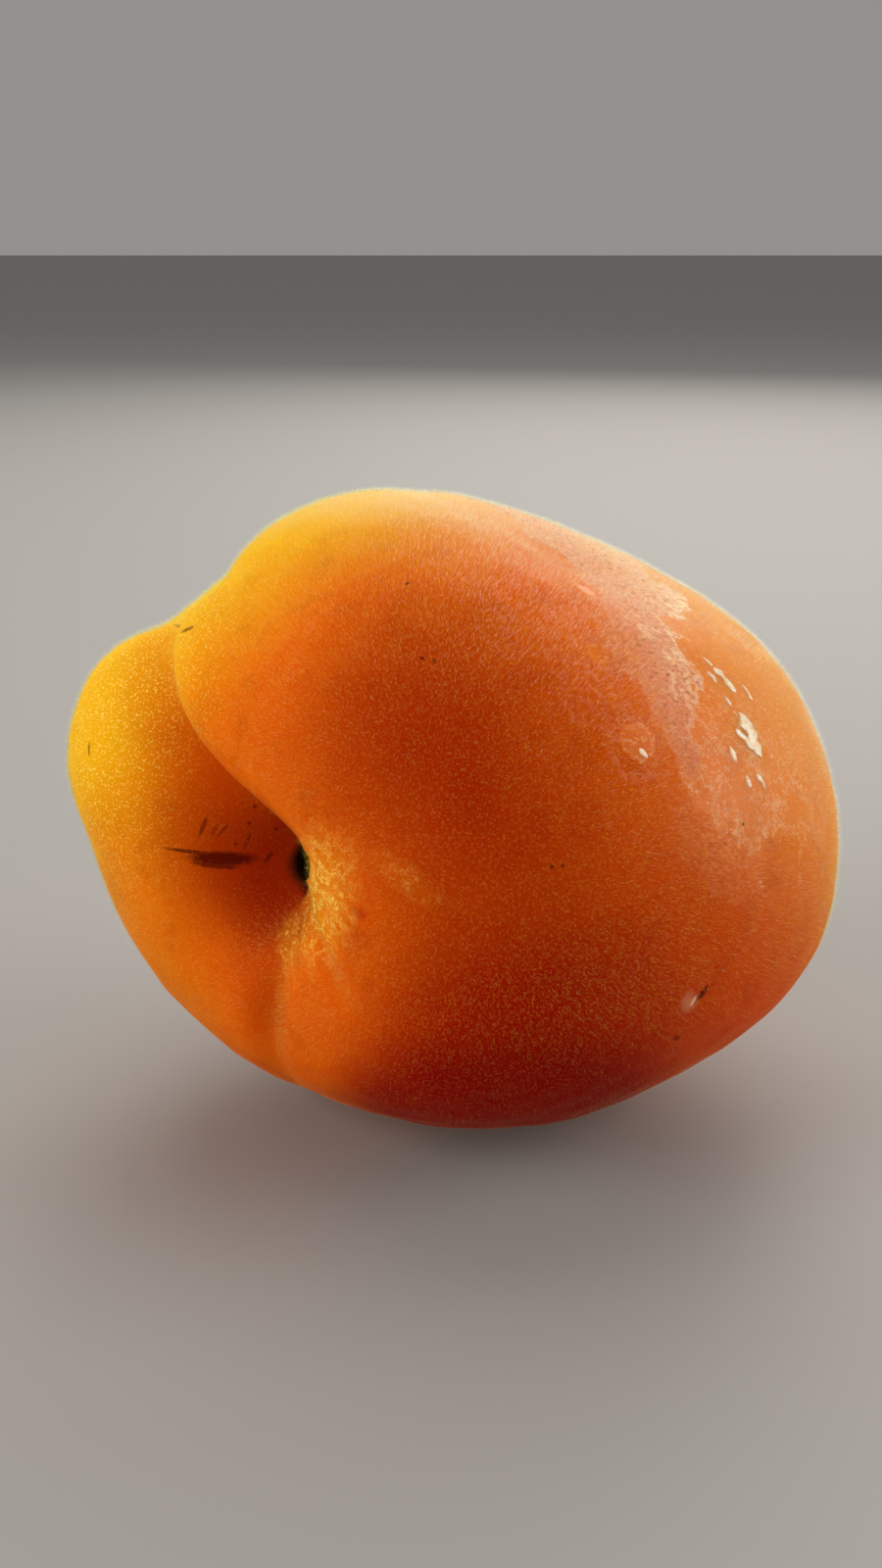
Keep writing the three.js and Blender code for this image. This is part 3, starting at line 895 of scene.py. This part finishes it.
def patch_of_fuzz(name, side, seed):
    """Hairs on the faces whose azimuth is within 45 degrees of side: each is a thin
    three-sided spike on a place drawn by area and growth, leaning a little at random; the
    pale ones have the second material."""
    draw = np.random.default_rng(seed)
    near = np.cos(face_side - np.radians(side)) > math.sqrt(0.5)
    share = face_area * growth * near
    face = np.searchsorted(np.cumsum(share), draw.uniform(0, share.sum(), HAIRS_A_PATCH))
    face = np.minimum(face, len(share) - 1)
    a, b = draw.uniform(0, 1, (2, HAIRS_A_PATCH, 1))
    a, b = np.where(a + b > 1, 1 - a, a), np.where(a + b > 1, 1 - b, b)
    root = skin_points[skin_faces[face, 0]] + a * edge_a[face] + b * edge_b[face]
    out = face_out[face]
    lean = out + HAIR_SCATTER * draw.normal(size=(HAIRS_A_PATCH, 3)) - HAIR_COMBED * TO_STEM
    lean = lean / np.linalg.norm(lean, axis=1, keepdims=True)
    length = draw.uniform(*HAIR_LENGTHS, HAIRS_A_PATCH)
    long = draw.uniform(size=HAIRS_A_PATCH) < 1 / LONG_HAIR_EVERY
    length = length * np.where(long, LONG_HAIR_TIMES, 1)
    beside = np.cross(lean, draw.normal(size=(HAIRS_A_PATCH, 3)))
    beside = beside / np.linalg.norm(beside, axis=1, keepdims=True) * HAIR_HALF_WIDTH
    behind = np.cross(lean, beside)
    foot = root - out * HAIR_ROOT
    points = np.stack((
        foot + beside,
        foot - 0.5 * beside + 0.87 * behind,
        foot - 0.5 * beside - 0.87 * behind,
        root + lean * length[:, None],
    ), axis=1)
    points[..., 2] = np.maximum(points[..., 2], 0.0)
    faces = np.array(((0, 1, 3), (1, 2, 3), (2, 0, 3), (0, 2, 1)))
    faces = 4 * np.arange(HAIRS_A_PATCH)[:, None, None] + faces
    fuzz = closed_mesh(name, points.reshape(-1, 3), faces.reshape(-1, 3))
    pale_and_sheen = draw.uniform(size=HAIRS_A_PATCH) < pale_and_sheen_share[face]
    fuzz.data.materials.append(golden_fuzz.material)
    fuzz.data.materials.append(pale_fuzz.material)
    fuzz.data.polygons.foreach_set("material_index", np.repeat(pale_and_sheen, 4).astype(np.int32))
    return fuzz


HAIR = dict(
    Roughness=0.6,
    Specular_IOR_Level=0.0,
    Subsurface_Weight=1.0,
    Subsurface_Radius=(1.0, 0.8, 0.6),
    Subsurface_Scale=0.0001,
)
golden_fuzz = Finish("golden_fuzz", Base_Color=tint(255, 172, 22), **HAIR)
pale_fuzz = Finish("pale_fuzz", Base_Color=tint(255, 226, 178), **HAIR)
for patch, (label, side) in enumerate(
    (("front", 0), ("right", 90), ("back", 180), ("left", -90))
):
    fuzz = patch_of_fuzz(f"fuzz_{label}", side, FUZZ_SEED + patch)
    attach(fuzz, "root")


# ---- Floor and light --------------------------------------------------------------------
# A plain pale table and soft lights: above and behind the fruit, low on its left and right,
# and a weaker one in front. All of them hang clear of the table.

FLOOR_HALF = 3.0  # m
floor_mesh = bpy.data.meshes.new("floor")
corners = [(x * FLOOR_HALF, y * FLOOR_HALF, 0) for x, y in ((-1, -1), (1, -1), (1, 1), (-1, 1))]
floor_mesh.from_pydata(corners, [], [(0, 1, 2, 3)])
floor = bpy.data.objects.new("floor", floor_mesh)
bpy.context.collection.objects.link(floor)
pale_table = Finish("pale_table", Base_Color=tint(158, 156, 154), Roughness=0.7)
floor.data.materials.append(pale_table.material)

# Name, azimuth and height in degrees, distance and size in m, power in W, and colour.
LIGHTS = (
    ("sky_above", 180, 62, 0.55, 0.5, 1.5, tint(255, 251, 246)),
    ("sky_behind", 168, 27, 0.6, 0.32, 1.1, tint(255, 248, 236)),
    ("sky_left", -62, 22, 0.55, 0.38, 1.65, tint(255, 250, 240)),
    ("sky_right", 92, 20, 0.55, 0.36, 1.62, tint(255, 249, 242)),
    ("front_fill", -25, 12, 0.7, 0.3, 0.92, tint(255, 250, 245)),
)
WORLD_GREY = tint(232, 230, 228)
WORLD_STRENGTH = 0.36


def soft_light(name, azimuth, height, distance, size, power, colour):
    """A square area light in the given direction from the fruit, turned to face it."""
    data = bpy.data.lights.new(name, "AREA")
    data.size = size
    data.energy = power
    data.color = colour[:3]
    light = bpy.data.objects.new(name, data)
    bpy.context.collection.objects.link(light)
    way = direction(azimuth, height)
    across = np.cross((0, 0, 1), way)
    across = across / np.linalg.norm(across)
    turned = Matrix(np.stack((across, np.cross(way, across), way), axis=1).tolist())
    place = Matrix.Translation((way * distance + MIDDLE * MM).tolist())
    light.visible_camera = False
    light.matrix_world = place @ turned.to_4x4()


for light in LIGHTS:
    soft_light(*light)

world = bpy.data.worlds.new("studio")
world.use_nodes = True
world.node_tree.nodes["Background"].inputs["Color"].default_value = WORLD_GREY
world.node_tree.nodes["Background"].inputs["Strength"].default_value = WORLD_STRENGTH
bpy.context.scene.world = world
bpy.context.scene.view_settings.view_transform = "Standard"
